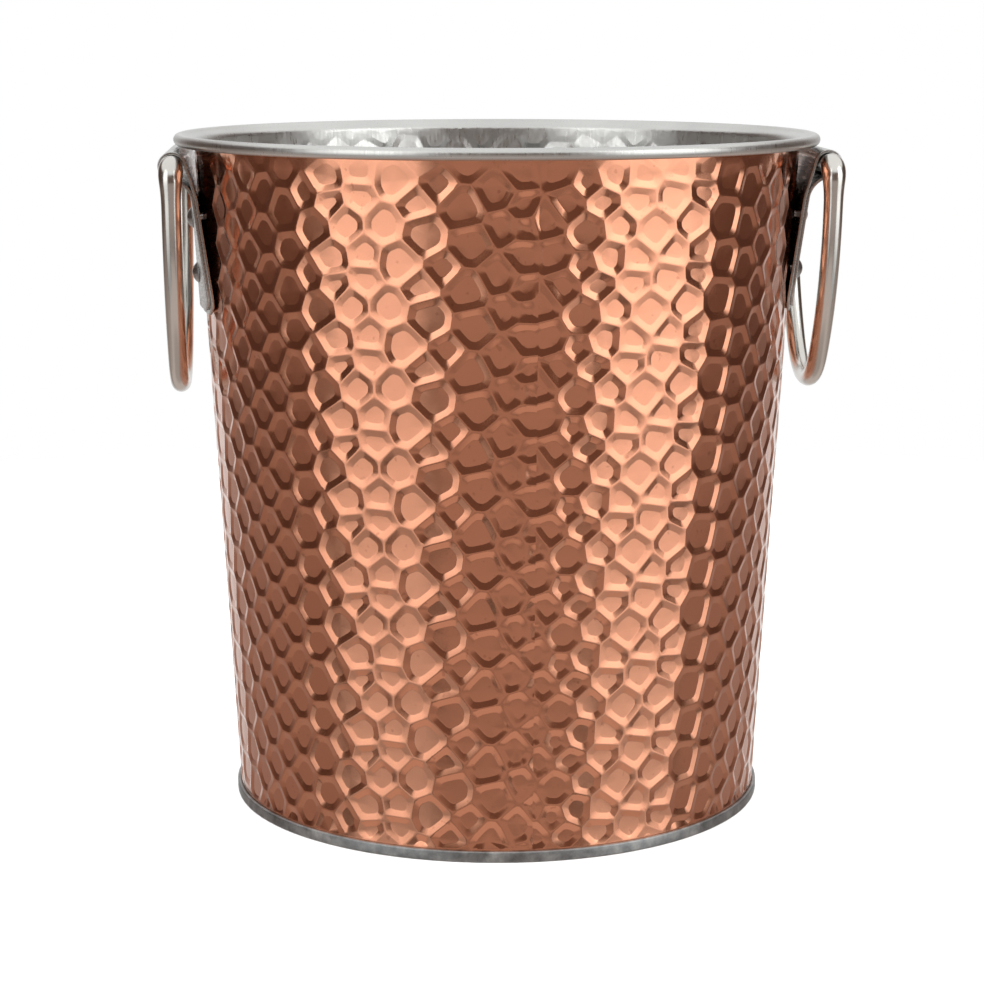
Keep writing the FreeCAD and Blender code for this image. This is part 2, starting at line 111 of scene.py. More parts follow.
# Dimples in one tile of the pressing roll, in millimetres: across, up and mean radius of the floor.
DIMPLES = (
    (15.0, 118.5, 4.0), (16.0, 131.5, 3.9), (25.0, 126.2, 4.6), (26.3, 138.8, 3.6),
    (34.1, 131.6, 3.1), (36.8, 120.7, 4.2), (43.1, 128.0, 3.1), (41.9, 136.8, 4.0),
    (48.2, 122.0, 3.7), (54.4, 138.3, 2.9), (53.8, 130.0, 2.7), (61.3, 121.8, 3.7),
    (65.5, 135.5, 4.4), (71.3, 127.8, 3.2), (73.5, 143.4, 4.4), (78.5, 133.5, 3.0),
    (85.4, 126.3, 4.3), (87.3, 140.7, 4.2), (95.1, 131.0, 4.0), (97.0, 120.4, 3.6),
    (103.2, 125.8, 3.4), (102.6, 136.6, 3.6), (103.6, 145.3, 3.2), (110.0, 122.2, 3.9),
    (112.8, 137.3, 3.5), (116.4, 127.4, 3.3), (123.0, 119.3, 3.9), (122.4, 133.6, 2.5),
    (127.1, 127.8, 3.0), (132.9, 121.1, 3.1), (130.6, 136.6, 3.3), (138.9, 128.6, 3.1),
    (139.7, 136.5, 2.9), (145.6, 120.0, 4.1), (151.3, 129.4, 3.7), (152.9, 138.4, 2.9),
    (159.1, 122.2, 4.1), (163.7, 138.9, 3.4), (162.9, 131.0, 3.1), (173.1, 123.0, 5.0),
    (174.1, 135.9, 4.4), (184.4, 120.1, 4.1), (185.1, 132.5, 4.2), (193.4, 125.9, 4.1),
    (194.6, 138.6, 3.9), (202.6, 119.6, 3.8), (202.0, 130.9, 4.0), (6.8, 125.2, 3.7),
    (7.9, 137.4, 4.0),
)


def smoothstep(low, high, value):
    part = np.clip((value - low) / (high - low), 0.0, 1.0)
    return part * part * (3.0 - 2.0 * part)


TILE = np.array((PATTERN_RUN, PATTERN_RISE))
SEEDS = np.array([d[:2] for d in DIMPLES]) * MM % TILE
SIZES = np.array([d[2] for d in DIMPLES]) * MM + SIZE_MARGIN


def neighbours():
    """The tile's dimples with those near it all round: centres and sizes."""
    shifts = [TILE * (i, j) for i in (-1, 0, 1) for j in (-1, 0, 1)]
    spread = np.concatenate([SEEDS + shift for shift in shifts])
    sizes = np.tile(SIZES, len(shifts))
    inside = ((spread > -NEIGHBOUR_REACH) & (spread < TILE + NEIGHBOUR_REACH)).all(1)
    return spread[inside], sizes[inside]


AROUND, AROUND_SIZES = neighbours()


def edge_distance(points):
    """How far each flat point lies inside its dimple's outline, with softly rounded corners."""
    wrapped = points % TILE
    result = np.empty(len(points))
    for start in range(0, len(points), POINTS_AT_ONCE):
        here = wrapped[start : start + POINTS_AT_ONCE]
        every = np.arange(len(here))
        power = ((here[:, None, :] - AROUND[None, :, :]) ** 2).sum(2) - AROUND_SIZES**2
        nearest = power.argmin(1)
        apart = AROUND[None, :, :] - AROUND[nearest][:, None, :]
        length = np.sqrt((apart**2).sum(2))
        length[every, nearest] = 1.0
        inside = (power - power[every, nearest][:, None]) / (2 * length)
        inside[every, nearest] = 1.0
        near = np.exp(-CORNER_SHARPNESS * np.clip(inside, -0.01, 0.05)).sum(1)
        result[start : start + POINTS_AT_ONCE] = -np.log(near) / CORNER_SHARPNESS
    return result


def cell_outline(index):
    """The outline of one dimple's share of the sheet, cut from a square by each neighbour's border."""
    own, size = SEEDS[index], SIZES[index]
    polygon = [own + np.array(c) * CELL_REACH for c in ((-1, -1), (1, -1), (1, 1), (-1, 1))]
    for other, other_size in zip(AROUND, AROUND_SIZES):
        step = other - own
        if 1e-9 < step @ step < (2 * CELL_REACH) ** 2:
            limit = (step @ step + size**2 - other_size**2) / 2
            clipped = []
            for a, b in zip(polygon, polygon[1:] + polygon[:1]):
                da, db = (a - own) @ step - limit, (b - own) @ step - limit
                if da <= 0:
                    clipped.append(a)
                if da * db < 0:
                    clipped.append(a + (b - a) * (da / (da - db)))
            polygon = clipped
    return polygon


def cell_patch(index):
    """Flat vertices and faces of one dimple: rings that follow its web, bevel and floor."""
    polygon = cell_outline(index)
    rim = []
    for a, b in zip(polygon, polygon[1:] + polygon[:1]):
        length = np.linalg.norm(b - a)
        if length < SHORT_EDGE:
            parts = (0.0,)
        elif length < LONG_EDGE:
            parts = (0.0, 0.5)
        else:
            parts = (0.0, 0.25, 0.75)
        rim.extend(a + (b - a) * part for part in parts)
    rim = np.array(rim)
    centre = np.mean(np.array(polygon), axis=0)
    shrink = min(1.0, FLOOR_ROOM * edge_distance(centre[None, :])[0] / FLOOR_EDGE)
    rings = [rim]
    for level in (CHAMFER_START, CHAMFER_STOP, FLOOR_EDGE):
        target = level * shrink
        near, far = np.zeros(len(rim)), np.ones(len(rim))
        for _ in range(BISECTIONS):
            half = (near + far) / 2
            deep = edge_distance(rim + (centre - rim) * half[:, None]) > target
            far = np.where(deep, half, far)
            near = np.where(deep, near, half)
        rings.append(rim + (centre - rim) * far[:, None])
    points = np.concatenate(rings + [centre[None, :]])
    count = len(rim)
    faces = []
    for ring in range(len(rings) - 1):
        for k in range(count):
            a, b = ring * count + k, ring * count + (k + 1) % count
            faces.append((a, b, b + count, a + count))
    last = (len(rings) - 1) * count
    faces.extend((last + k, last + (k + 1) % count, len(points) - 1) for k in range(count))
    return points, faces


def to_sheet(points):
    """From the pattern roll's flat plane to distance round the wall and height."""
    across, up = points[:, 0], points[:, 1] + FLAT_APEX
    around = np.arctan2(across, up) / CURVE_SINE * MEAN_RADIUS
    return np.stack([around, np.hypot(across, up) - FLAT_APEX], 1)


def to_roll(around, height):
    """From distance round the wall and height to the pattern roll's flat plane."""
    turn = around / MEAN_RADIUS * CURVE_SINE
    reach = FLAT_APEX + height
    return np.stack([reach * np.sin(turn), reach * np.cos(turn) - FLAT_APEX], -1)


HALF_SHEET = math.pi * MEAN_RADIUS + LAP / 2


def flat_pattern_mesh():
    """The whole embossed blank as one flat mesh, trimmed to its four edges."""
    patches = [cell_patch(index) for index in range(len(SEEDS))]
    columns = math.ceil((HALF_SHEET + 15 * MM) / PATTERN_RUN) + 1
    rows = math.ceil((EMBOSS_TOP + 20 * MM) / PATTERN_RISE) + 1
    points, faces, count = [], [], 0
    for i in range(-columns, columns):
        for j in range(-1, rows):
            for patch_points, patch_faces in patches:
                place = patch_points + TILE * (i, j)
                sheet = to_sheet(place)
                outside = (
                    sheet[:, 0].min() > HALF_SHEET
                    or sheet[:, 0].max() < -HALF_SHEET
                    or sheet[:, 1].min() > EMBOSS_TOP
                    or sheet[:, 1].max() < EMBOSS_BOTTOM
                )
                if outside:
                    continue
                points.append(sheet)
                faces.extend(tuple(count + v for v in face) for face in patch_faces)
                count += len(place)
    flat = np.concatenate(points)
    mesh = bpy.data.meshes.new("blank")
    mesh.from_pydata([(x, y, 0.0) for x, y in flat.tolist()], [], faces)
    bm = bmesh.new()
    bm.from_mesh(mesh)
    bpy.data.meshes.remove(mesh)
    bmesh.ops.remove_doubles(bm, verts=bm.verts, dist=WELD)
    for place, outward in (
        ((HALF_SHEET, 0, 0), (1, 0, 0)),
        ((-HALF_SHEET, 0, 0), (-1, 0, 0)),
        ((0, EMBOSS_TOP, 0), (0, 1, 0)),
        ((0, EMBOSS_BOTTOM, 0), (0, -1, 0)),
    ):
        everything = bm.verts[:] + bm.edges[:] + bm.faces[:]
        bmesh.ops.bisect_plane(
            bm, geom=everything, dist=1e-7, plane_co=place, plane_no=outward, clear_outer=True
        )
    lap_edges = [
        edge
        for edge in bm.edges
        if min(abs(v.co.x) for v in edge.verts) > HALF_SHEET - LAP - 3 * MM
        and edge.calc_length() > 0.7 * MM
    ]
    bmesh.ops.subdivide_edges(bm, edges=lap_edges, cuts=1, use_grid_fill=True)
    bmesh.ops.remove_doubles(bm, verts=bm.verts, dist=WELD)
    bm.verts.index_update()
    return bm


def chamfer(inside):
    """Share of the full depth at a distance inside the outline: a straight ramp with eased ends."""
    total = ((CHAMFER_STOP + FLOOR_EDGE) - (WEB_EDGE + CHAMFER_START)) / 2
    head, foot = CHAMFER_START - WEB_EDGE, FLOOR_EDGE - CHAMFER_STOP
    ease_in = np.clip(inside - WEB_EDGE, 0, head) ** 2 / (2 * head)
    ramp = np.clip(inside - CHAMFER_START, 0, CHAMFER_STOP - CHAMFER_START)
    left = np.clip(FLOOR_EDGE - inside, 0, foot)
    ease_out = foot / 2 - left**2 / (2 * foot)
    return (ease_in + ramp + ease_out) / total


def pressed(around, height):
    """Depth of the pressing, from 0 to about 1; where the ends lap, both layers share one shape."""
    depth = chamfer(edge_distance(to_roll(around, height)))
    edge = HALF_SHEET - LAP
    lapped = smoothstep(edge - 1.5 * MM, edge + 1.0 * MM, np.abs(around))
    near = lapped > 0
    other = np.zeros_like(depth)
    shifted = around[near] - np.sign(around[near]) * 2 * math.pi * MEAN_RADIUS
    other[near] = chamfer(edge_distance(to_roll(shifted, height[near])))
    over = around > 0
    depth = depth * (1 - np.where(over, OVER_LOSS, UNDER_LOSS) * lapped)
    depth = depth + np.where(over, OVER_GAIN, UNDER_GAIN) * lapped * other
    ironed = smoothstep(PLAIN_FROM, FULL_BELOW, height)
    ironed *= smoothstep(EMBOSS_BOTTOM, EMBOSS_BOTTOM + 1.2 * MM, height)
    return depth * ironed


def waviness(around, height):
    """The slight unevenness of thin sheet that has been pressed and rolled."""
    waves = 0
    for run, rise, phase in (
        (0.62, 0.35, 0.3),
        (-0.41, 0.57, 1.9),
        (0.23, -0.71, 4.4),
        (0.83, 0.19, 2.7),
    ):
        waves = waves + np.sin((around * run + height * rise) / MM + phase)
    return waves * WAVE_HEIGHT * smoothstep(PLAIN_FROM, FULL_BELOW, height)


def cone_radius(height):
    """The wall's outer face, up to where the sheet leans out on to the rim wire."""
    slope = (CONE_TOP_RADIUS - FOOT_RADIUS) / (CONE_TOP_HEIGHT - SEAM_HEIGHT)
    return FOOT_RADIUS + slope * (np.maximum(height, SEAM_HEIGHT) - SEAM_HEIGHT)


def under_lap(around):
    """1 on the end of the sheet that lies under the lap, 0 elsewhere."""
    return smoothstep(-HALF_SHEET + LAP + LAP_BLEND, -HALF_SHEET + LAP, around)


def over_lap(around):
    """1 on the end of the sheet that lies over the lap, 0 elsewhere."""
    return smoothstep(HALF_SHEET - LAP - LAP_BLEND, HALF_SHEET - LAP, around)


def place_on_wall(around, radius, height):
    """Points in space from distance round the wall, radius and height; the ends meet at the front."""
    turn = math.pi / 2 + around / MEAN_RADIUS
    return np.stack([radius * np.cos(turn), radius * np.sin(turn), height + 0 * radius], -1)


def flange(share):
    """Middle of the sheet from the wall (share 0) to the curl (share 1), and its outward normal."""
    cosine, sine = math.cos(CURL_START), math.sin(CURL_START)
    start = np.array((float(cone_radius(EMBOSS_TOP)) - SHEET / 2, EMBOSS_TOP))
    end = np.array((BEAD_CENTRE, BEAD_LEVEL)) + (BEAD - SHEET / 2) * np.array((cosine, sine))
    leave = start + FLANGE_RISE * np.array((FLANGE_LEAN, 1.0))
    arrive = end - FLANGE_REACH * np.array((sine, -cosine))
    rest = 1 - share
    place = rest**3 * start + 3 * rest**2 * share * leave
    place = place + 3 * rest * share**2 * arrive + share**3 * end
    along = rest**2 * (leave - start) + 2 * rest * share * (arrive - leave)
    along = along + share**2 * (end - arrive)
    along /= np.linalg.norm(along)
    return place, np.array((along[1], -along[0]))


def rim_rows():
    """Section of the sheet above the pattern, from its outer skin over the curl to its inner skin.

    Each row is radius, height, fold and copper. Fold is the share of the way through the flange
    and the normal there, or None on the curl.
    """

    def skin(shares, half, coppered):
        rows = []
        for share in shares:
            place, normal = flange(share)
            rows.append((*(place + half * normal), (share, *normal), coppered))
        return rows

    curl = []
    for radius, start, stop, steps, coppered in (
        (BEAD - SHEET, CURL_START, CURL_END, 8, True),
        (BEAD, CURL_END, CURL_START, 16, False),
    ):
        for step in range(steps + 1):
            turn = start + (stop - start) * step / steps
            place = BEAD_CENTRE + radius * math.cos(turn), BEAD_LEVEL + radius * math.sin(turn)
            curl.append((*place, None, coppered))
    outer = skin(FLANGE_SHARES, SHEET / 2, True)
    return outer + curl + skin(FLANGE_SHARES[::-1], -SHEET / 2, False)


def foot_rows():
    """Section of the sheet below the pattern: down into the seam, the hook, and up inside.

    Each row is radius, height and copper.
    """
    hook_outer = FOOT_RADIUS + 2 * LAYER
    hook_top = SEAM_HEIGHT - LAYER
    return [
        (FOOT_RADIUS, SEAM_HEIGHT, True),
        (FOOT_RADIUS, LAYER + SHEET, True),
        (hook_outer - SHEET, LAYER + SHEET, True),
        (hook_outer - SHEET, hook_top, True),
        (hook_outer, hook_top, True),
        (hook_outer, LAYER, True),
        (FOOT_RADIUS - SHEET, LAYER, True),
        (FOOT_RADIUS - SHEET, SEAM_HEIGHT, True),
    ]


def build_side_wall():
    """The sheet as one closed skin: embossed outside and inside, rim and foot, and its two ends."""
    flat = flat_pattern_mesh()
    flat.verts.ensure_lookup_table()
    sheet = np.array([v.co[:2] for v in flat.verts])
    around, height = sheet[:, 0], sheet[:, 1]
    faces = [[v.index for v in face.verts] for face in flat.faces]
    flat.free()
    eps = 0.002 * MM

    def border(mask, order):
        """The vertices on one edge of the blank, in order along it."""
        return sorted(np.flatnonzero(mask).tolist(), key=lambda i: order[i])

    top_chain = border(height > EMBOSS_TOP - eps, around)
    low_chain = border(height < EMBOSS_BOTTOM + eps, around)
    end_chains = [border(side * around > HALF_SHEET - eps, height) for side in (-1, 1)]
    outer_radius = (
        cone_radius(height)
        - EMBOSS_DEPTH * pressed(around, height)
        + waviness(around, height)
        - LAP_DROP * under_lap(around)
    )
    outer = place_on_wall(around, outer_radius, height)
    inner = place_on_wall(around, outer_radius - SHEET, height)
    count = len(outer)
    points = [outer, inner]
    total = 2 * count
    all_faces = [tuple(f) for f in faces] + [tuple(count + v for v in reversed(f)) for f in faces]
    copper = [True] * len(faces) + [False] * len(faces)

    def add_band(chain, rows, place_row, flip):
        """Joins the outer skin's edge to the inner skin's edge through the rows of a section."""
        nonlocal total
        here = around[chain]
        indices = [list(chain)]
        for row in rows:
            points.append(place_row(here, row))
            indices.append(list(range(total, total + len(chain))))
            total += len(chain)
        indices.append([count + v for v in chain])
        colours = [True] + [row[-1] for row in rows]
        for level in range(len(indices) - 1):
            a, b = indices[level], indices[level + 1]
            for k in range(len(chain) - 1):
                quad = (a[k], a[k + 1], b[k + 1], b[k])
                all_faces.append(quad[::-1] if flip else quad)
                copper.append(colours[level] and (level + 1 >= len(colours) or colours[level + 1]))
        for end, order in ((0, 1), (-1, -1)):
            ring = [row[end] for row in indices][::order]
            all_faces.append(tuple(ring if not flip else ring[::-1]))
            copper.append(False)

    def rim_row(here, row):
        radius, level, fold, _ = row
        if fold is None:
            shrink = 1 - BEAD_STEP / BEAD * over_lap(here)
            radius = BEAD_CENTRE + (radius - BEAD_CENTRE) * shrink
            level = BEAD_LEVEL + (level - BEAD_LEVEL) * shrink
        else:
            share, out, up = fold
            drop = share * BEAD_STEP * over_lap(here) - (1 - share) * LAP_DROP * under_lap(here)
            radius, level = radius + drop * out, level + drop * up
        return place_on_wall(here, radius, level)

    def foot_row(here, row):
        radius, level, _ = row
        return place_on_wall(here, radius - LAP_DROP * 0.5 * under_lap(here), level + 0 * here)

    add_band(top_chain, rim_rows(), rim_row, False)
    add_band(low_chain, foot_rows(), foot_row, True)
    for chain, flip in zip(end_chains, (False, True)):
        for a, b in zip(chain, chain[1:]):
            quad = (a, b, count + b, count + a)
            all_faces.append(quad if not flip else quad[::-1])
            copper.append(True)
    mesh = bpy.data.meshes.new("side_wall_sheet")
    mesh.from_pydata(np.concatenate(points).tolist(), [], all_faces)
    piece = bpy.data.objects.new("side_wall_sheet", mesh)
    bpy.context.collection.objects.link(piece)
    piece.data.materials.append(copper_lacquer())
    piece.data.materials.append(bare_steel("bright_inside_steel", (0.70, 0.70, 0.68), 0.32))
    mesh.polygons.foreach_set("material_index", [0 if flag else 1 for flag in copper])
    mesh.polygons.foreach_set("use_smooth", [True] * len(mesh.polygons))
    mesh.set_sharp_from_angle(angle=math.radians(50))
    flat_faces = piece.modifiers.new("flat_faces", "WEIGHTED_NORMAL")
    flat_faces.keep_sharp = True
    finish_piece(piece, "bucket", "side_wall")
    return piece


# ---- mesh helpers -----------------------------------------------------------------------------


def finish_piece(piece, body, node):
    """Parents a piece to its body's empty and hides the imported node that it stands in for."""
    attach(piece, body)
    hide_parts(node)


def smooth_object(name, points, faces, material):
    """A smooth-shaded mesh object whose steep edges stay sharp."""
    mesh = bpy.data.meshes.new(name)
    mesh.from_pydata([tuple(p) for p in points], [], [tuple(f) for f in faces])
    mesh.polygons.foreach_set("use_smooth", [True] * len(mesh.polygons))
    mesh.set_sharp_from_angle(angle=math.radians(40))
    piece = bpy.data.objects.new(name, mesh)
    bpy.context.collection.objects.link(piece)
    piece.data.materials.append(material)
    return piece


def rounded_outline(corners):
    """A closed outline whose corners, (across, up, radius), are filleted."""
    result = []
    count = len(corners)
    for k, (x, y, radius) in enumerate(corners):
        here = Vector((x, y))
        before = Vector(corners[k - 1][:2]) - here
        after = Vector(corners[(k + 1) % count][:2]) - here
        if radius <= 0:
            result.append((x, y))
            continue
        a, b = before.normalized(), after.normalized()
        half = a.angle(b) / 2
        cut = min(radius / math.tan(half), 0.49 * before.length, 0.49 * after.length)
        start, end = here + a * cut, here + b * cut
        for step in range(5):
            t = step / 4
            result.append(tuple(start * (1 - t) ** 2 + here * (2 * t * (1 - t)) + end * t**2))
    return result


def lathe(name, outline, segments, material, closed=True, wobble=None):
    """Revolves a section round Z; wobble(turn, radius, height) may shift a point."""
    points, faces = [], []
    count = len(outline)
    for k in range(segments):
        turn = 2 * math.pi * k / segments
        for radius, height in outline:
            if wobble:
                radius, height = wobble(turn, radius, height)
            points.append((radius * math.cos(turn), radius * math.sin(turn), height))
    for k in range(segments):
        a, b = k * count, (k + 1) % segments * count
        for i in range(count if closed else count - 1):
            j = (i + 1) % count
            faces.append((a + i, b + i, b + j, a + j))
    return smooth_object(name, points, faces, material)


def weld(piece, distance):
    """Merges the vertices of a piece that lie within a distance of each other."""
    bm = bmesh.new()
    bm.from_mesh(piece.data)
    bmesh.ops.remove_doubles(bm, verts=bm.verts, dist=distance)
    bm.to_mesh(piece.data)
    bm.free()


# ---- materials --------------------------------------------------------------------------------


def feed(tree, socket, value):
    """Links a socket to another node's output, or sets its constant."""
    if isinstance(value, bpy.types.NodeSocket):
        tree.links.new(value, socket)
    else:
        socket.default_value = value


def add_node(tree, kind, **inputs):
    """A new node with some of its inputs fed, underscores standing for spaces in their names."""
    node = tree.nodes.new(kind)
    for key, value in inputs.items():
        feed(tree, node.inputs[key.replace("_", " ")], value)
    return node


def mix_colours(tree, factor, first, second, blend="MIX"):
    node = tree.nodes.new("ShaderNodeMix")
    node.data_type = "RGBA"
    node.blend_type = blend
    for index, value in ((0, factor), (6, first), (7, second)):
        feed(tree, node.inputs[index], value)
    return node.outputs[2]


class Nodes:
    """Short names for building a material's node tree."""

    def __init__(self, name):
        self.material = bpy.data.materials.new(name)
        self.material.use_nodes = True
        self.tree = self.material.node_tree
        self.shader = self.tree.nodes["Principled BSDF"]

    def add(self, kind, **inputs):
        return add_node(self.tree, kind, **inputs)

    def link(self, output, socket):
        self.tree.links.new(output, self.shader.inputs[socket])

    def place(self, stretch):
        """Object coordinates, stretched along each axis."""
        coordinates = self.tree.nodes.new("ShaderNodeTexCoord")
        mapping = self.add("ShaderNodeMapping", Vector=coordinates.outputs["Object"])
        mapping.inputs["Scale"].default_value = stretch
        return mapping.outputs["Vector"]

    def noise(self, stretch, scale, detail=4.0, rough=0.55):
        where = self.place(stretch)
        node = self.add("ShaderNodeTexNoise", Vector=where, Scale=scale, Detail=detail, Roughness=rough)
        return node.outputs["Fac"]

    def ramp(self, factor, stops):
        node = self.add("ShaderNodeValToRGB", Fac=factor)
        elements = node.color_ramp.elements
        while len(elements) < len(stops):
            elements.new(0.5)
        for element, (place, colour) in zip(elements, stops):
            element.position = place
            element.color = (*colour, 1.0)
        return node.outputs["Color"]

    def span(self, factor, low, high):
        """A number from low to high over the middle of a noise's range."""
        ends = {"From_Min": 0.3, "From_Max": 0.7, "To_Min": low, "To_Max": high}
        node = self.add("ShaderNodeMapRange", Value=factor, **ends)
        return node.outputs["Result"]

    def mix(self, factor, first, second, blend="MIX"):
        return mix_colours(self.tree, factor, first, second, blend)

    def bump(self, height, strength, distance):
        node = self.add("ShaderNodeBump", Height=height, Strength=strength, Distance=distance)
        self.link(node.outputs["Normal"], "Normal")


def copper_lacquer():
    """Transparent copper lacquer over bright steel: deep colour, fine mottling, small scuffs."""
    n = Nodes("copper_lacquer")
    cloud = n.noise((1, 1, 1), 9.0, 3.0)
    grain = n.noise((1, 1, 1), 900.0, 2.0)
    tint = n.ramp(cloud, [(0.32, (0.80, 0.330, 0.185)), (0.68, (0.86, 0.370, 0.212))])
    speck = n.ramp(n.noise((1, 1, 1), 420.0, 1.0), [(0.70, (1, 1, 1)), (0.78, (0.82, 0.78, 0.76))])
    n.link(n.mix(1.0, tint, speck, "MULTIPLY"), "Base Color")
    n.shader.inputs["Metallic"].default_value = 1.0
    n.link(n.span(n.noise((1, 1, 0.4), 60.0, 4.0), 0.12, 0.19), "Roughness")
    n.shader.inputs["Coat Weight"].default_value = 1.0
    n.shader.inputs["Coat Roughness"].default_value = 0.08
    n.shader.inputs["Coat IOR"].default_value = 1.45
    n.bump(grain, 0.12, 0.02 * MM)
    return n.material


def bare_steel(name, colour, roughness, stretch=(1, 1, 0.08)):
    """Bright rolled steel with fine lines along one direction and faint clouding."""
    n = Nodes(name)
    cloud = n.noise((1, 1, 1), 22.0, 4.0)
    dark = tuple(c * 0.84 for c in colour)
    tint = n.ramp(cloud, [(0.3, dark), (0.7, colour)])
    n.link(tint, "Base Color")
    n.shader.inputs["Metallic"].default_value = 1.0
    lines = n.noise(stretch, 1400.0, 3.0)
    n.link(n.span(lines, roughness * 0.8, roughness * 1.3), "Roughness")
    n.bump(lines, 0.10, 0.02 * MM)
    return n.material


def dull_zinc():
    """Mottled grey zinc with soft spangle."""
    n = Nodes("dull_zinc")
    spangle = n.add("ShaderNodeTexVoronoi", Vector=n.place((1, 1, 1)), Scale=420.0)
    blotch = n.noise((1, 1, 1), 160.0, 5.0, 0.65)
    greys = [(0.30, (0.17, 0.18, 0.18)), (0.52, (0.34, 0.35, 0.35)), (0.72, (0.56, 0.56, 0.55))]
    tint = n.ramp(blotch, greys)
    shade = n.ramp(spangle.outputs["Distance"], [(0.0, (0.78, 0.78, 0.78)), (0.9, (1, 1, 1))])
    n.link(n.mix(0.6, tint, n.mix(1.0, tint, shade, "MULTIPLY")), "Base Color")
    n.shader.inputs["Metallic"].default_value = 0.9
    n.link(n.span(blotch, 0.32, 0.55), "Roughness")
    n.bump(blotch, 0.25, 0.05 * MM)
    return n.material


def sealing_compound():
    """Dull grey-brown compound, hidden in the seam."""
    n = Nodes("sealing_compound")
    cloud = n.noise((1, 1, 1), 300.0, 4.0)
    n.link(n.ramp(cloud, [(0.3, (0.30, 0.28, 0.22)), (0.7, (0.38, 0.36, 0.30))]), "Base Color")
    n.link(n.span(cloud, 0.6, 0.8), "Roughness")
    n.bump(cloud, 0.3, 0.05 * MM)
    return n.material


# ---- bottom, hidden wire and sealant ----------------------------------------------------------


def build_base_pan():
    """The bottom: a shallow raised step, then up, over and down round the wall's hook."""
    panel, raised, step, run = 4.4 * MM, 5.6 * MM, 68.0 * MM, 3.0 * MM
    chuck = FOOT_RADIUS - LAYER
    cover = FOOT_RADIUS + SEAM_GAP
    hook = 1.5 * MM
    fold = SEAM_HEIGHT - SHEET
    tight, bend = 0.1 * MM, 0.45 * MM
    corners = [
        (0.0, raised, 0),
        (step - run, raised, 1.5 * MM),
        (step, panel, 1.5 * MM),
        (chuck - SHEET, panel, 0.8 * MM),
        (chuck - SHEET, 0.0, bend),
        (BAND_RADIUS, 0.0, 0.6 * MM),
        (BAND_RADIUS, SEAM_HEIGHT, 0.55 * MM),
        (cover, SEAM_HEIGHT, 0.35 * MM),
        (cover, hook, 0),
        (cover + SHEET, hook, 0),
        (cover + SHEET, fold, tight),
        (BAND_RADIUS - SHEET, fold, tight),
        (BAND_RADIUS - SHEET, SHEET, tight),
        (chuck, SHEET, tight),
        (chuck, panel + SHEET, 1.1 * MM),
        (step, panel + SHEET, 1.5 * MM),
        (step - run, raised + SHEET, 1.5 * MM),
        (0.0, raised + SHEET, 0),
    ]
    outline = rounded_outline(corners)

    def rolled(turn, radius, height):
        """The seaming roll leaves the band very slightly uneven."""
        wave = math.sin(7 * turn + 0.4) + 0.6 * math.sin(19 * turn + 2.0) + 0.4 * math.sin(43 * turn)
        share = max(0.0, (radius - FOOT_RADIUS) / (BAND_RADIUS - FOOT_RADIUS))
        return radius - 0.025 * MM * share * (1 + wave), height

    piece = lathe("bottom_pan", outline, 288, dull_zinc(), wobble=rolled)
    weld(piece, 0.005 * MM)
    finish_piece(piece, "bucket", "base_pan")


def dress_hidden_nodes():
    """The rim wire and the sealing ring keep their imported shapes."""
    for node, material in (
        ("rim_wire", bare_steel("drawn_wire", (0.45, 0.45, 0.44), 0.4, (1, 1, 1))),
        ("seam_sealant", sealing_compound()),
    ):
        slots = frame["nodes"][node].data.materials
        slots.clear()
        slots.append(material)


# ---- brackets ---------------------------------------------------------------------------------

BRACKET_SHEET = 0.95 * MM
BARREL = 4.6 * MM
THROAT = 8.0 * MM
LEAF_GAP = 0.05 * MM
BRACKET_HALF = 30.0 * MM
INNER_LEAF_BOTTOM = 167.0 * MM
OUTER_LEAF_BOTTOM = 168.5 * MM
RIVET_UPPER, RIVET_LOWER, RIVET_SPREAD = 198.2 * MM, 180.2 * MM, 15.0 * MM
LEAF_FLATNESS = 0.6
LEAF_CORNER = 6.0 * MM


def stand_off(y, z):
    """How far the inner leaf stands off the wall: it follows it at the foot and is flatter above."""
    radius = float(cone_radius(z))
    rise = (z - INNER_LEAF_BOTTOM) / (RIVET_UPPER - INNER_LEAF_BOTTOM)
    return LEAF_FLATNESS * rise * (radius - math.sqrt(radius**2 - y**2))


def leaf_line(y):
    """In the plane at y, as (x, z): the foot of the inner leaf's back, its way up and way out."""

    def back(z):
        reach = math.sqrt((float(cone_radius(z)) + SEAM_GAP) ** 2 - y * y)
        return Vector((reach + stand_off(y, z), z))

    low = back(INNER_LEAF_BOTTOM)
    up = (back(RIVET_UPPER) - low).normalized()
    return low, up, Vector((up.y, -up.x))


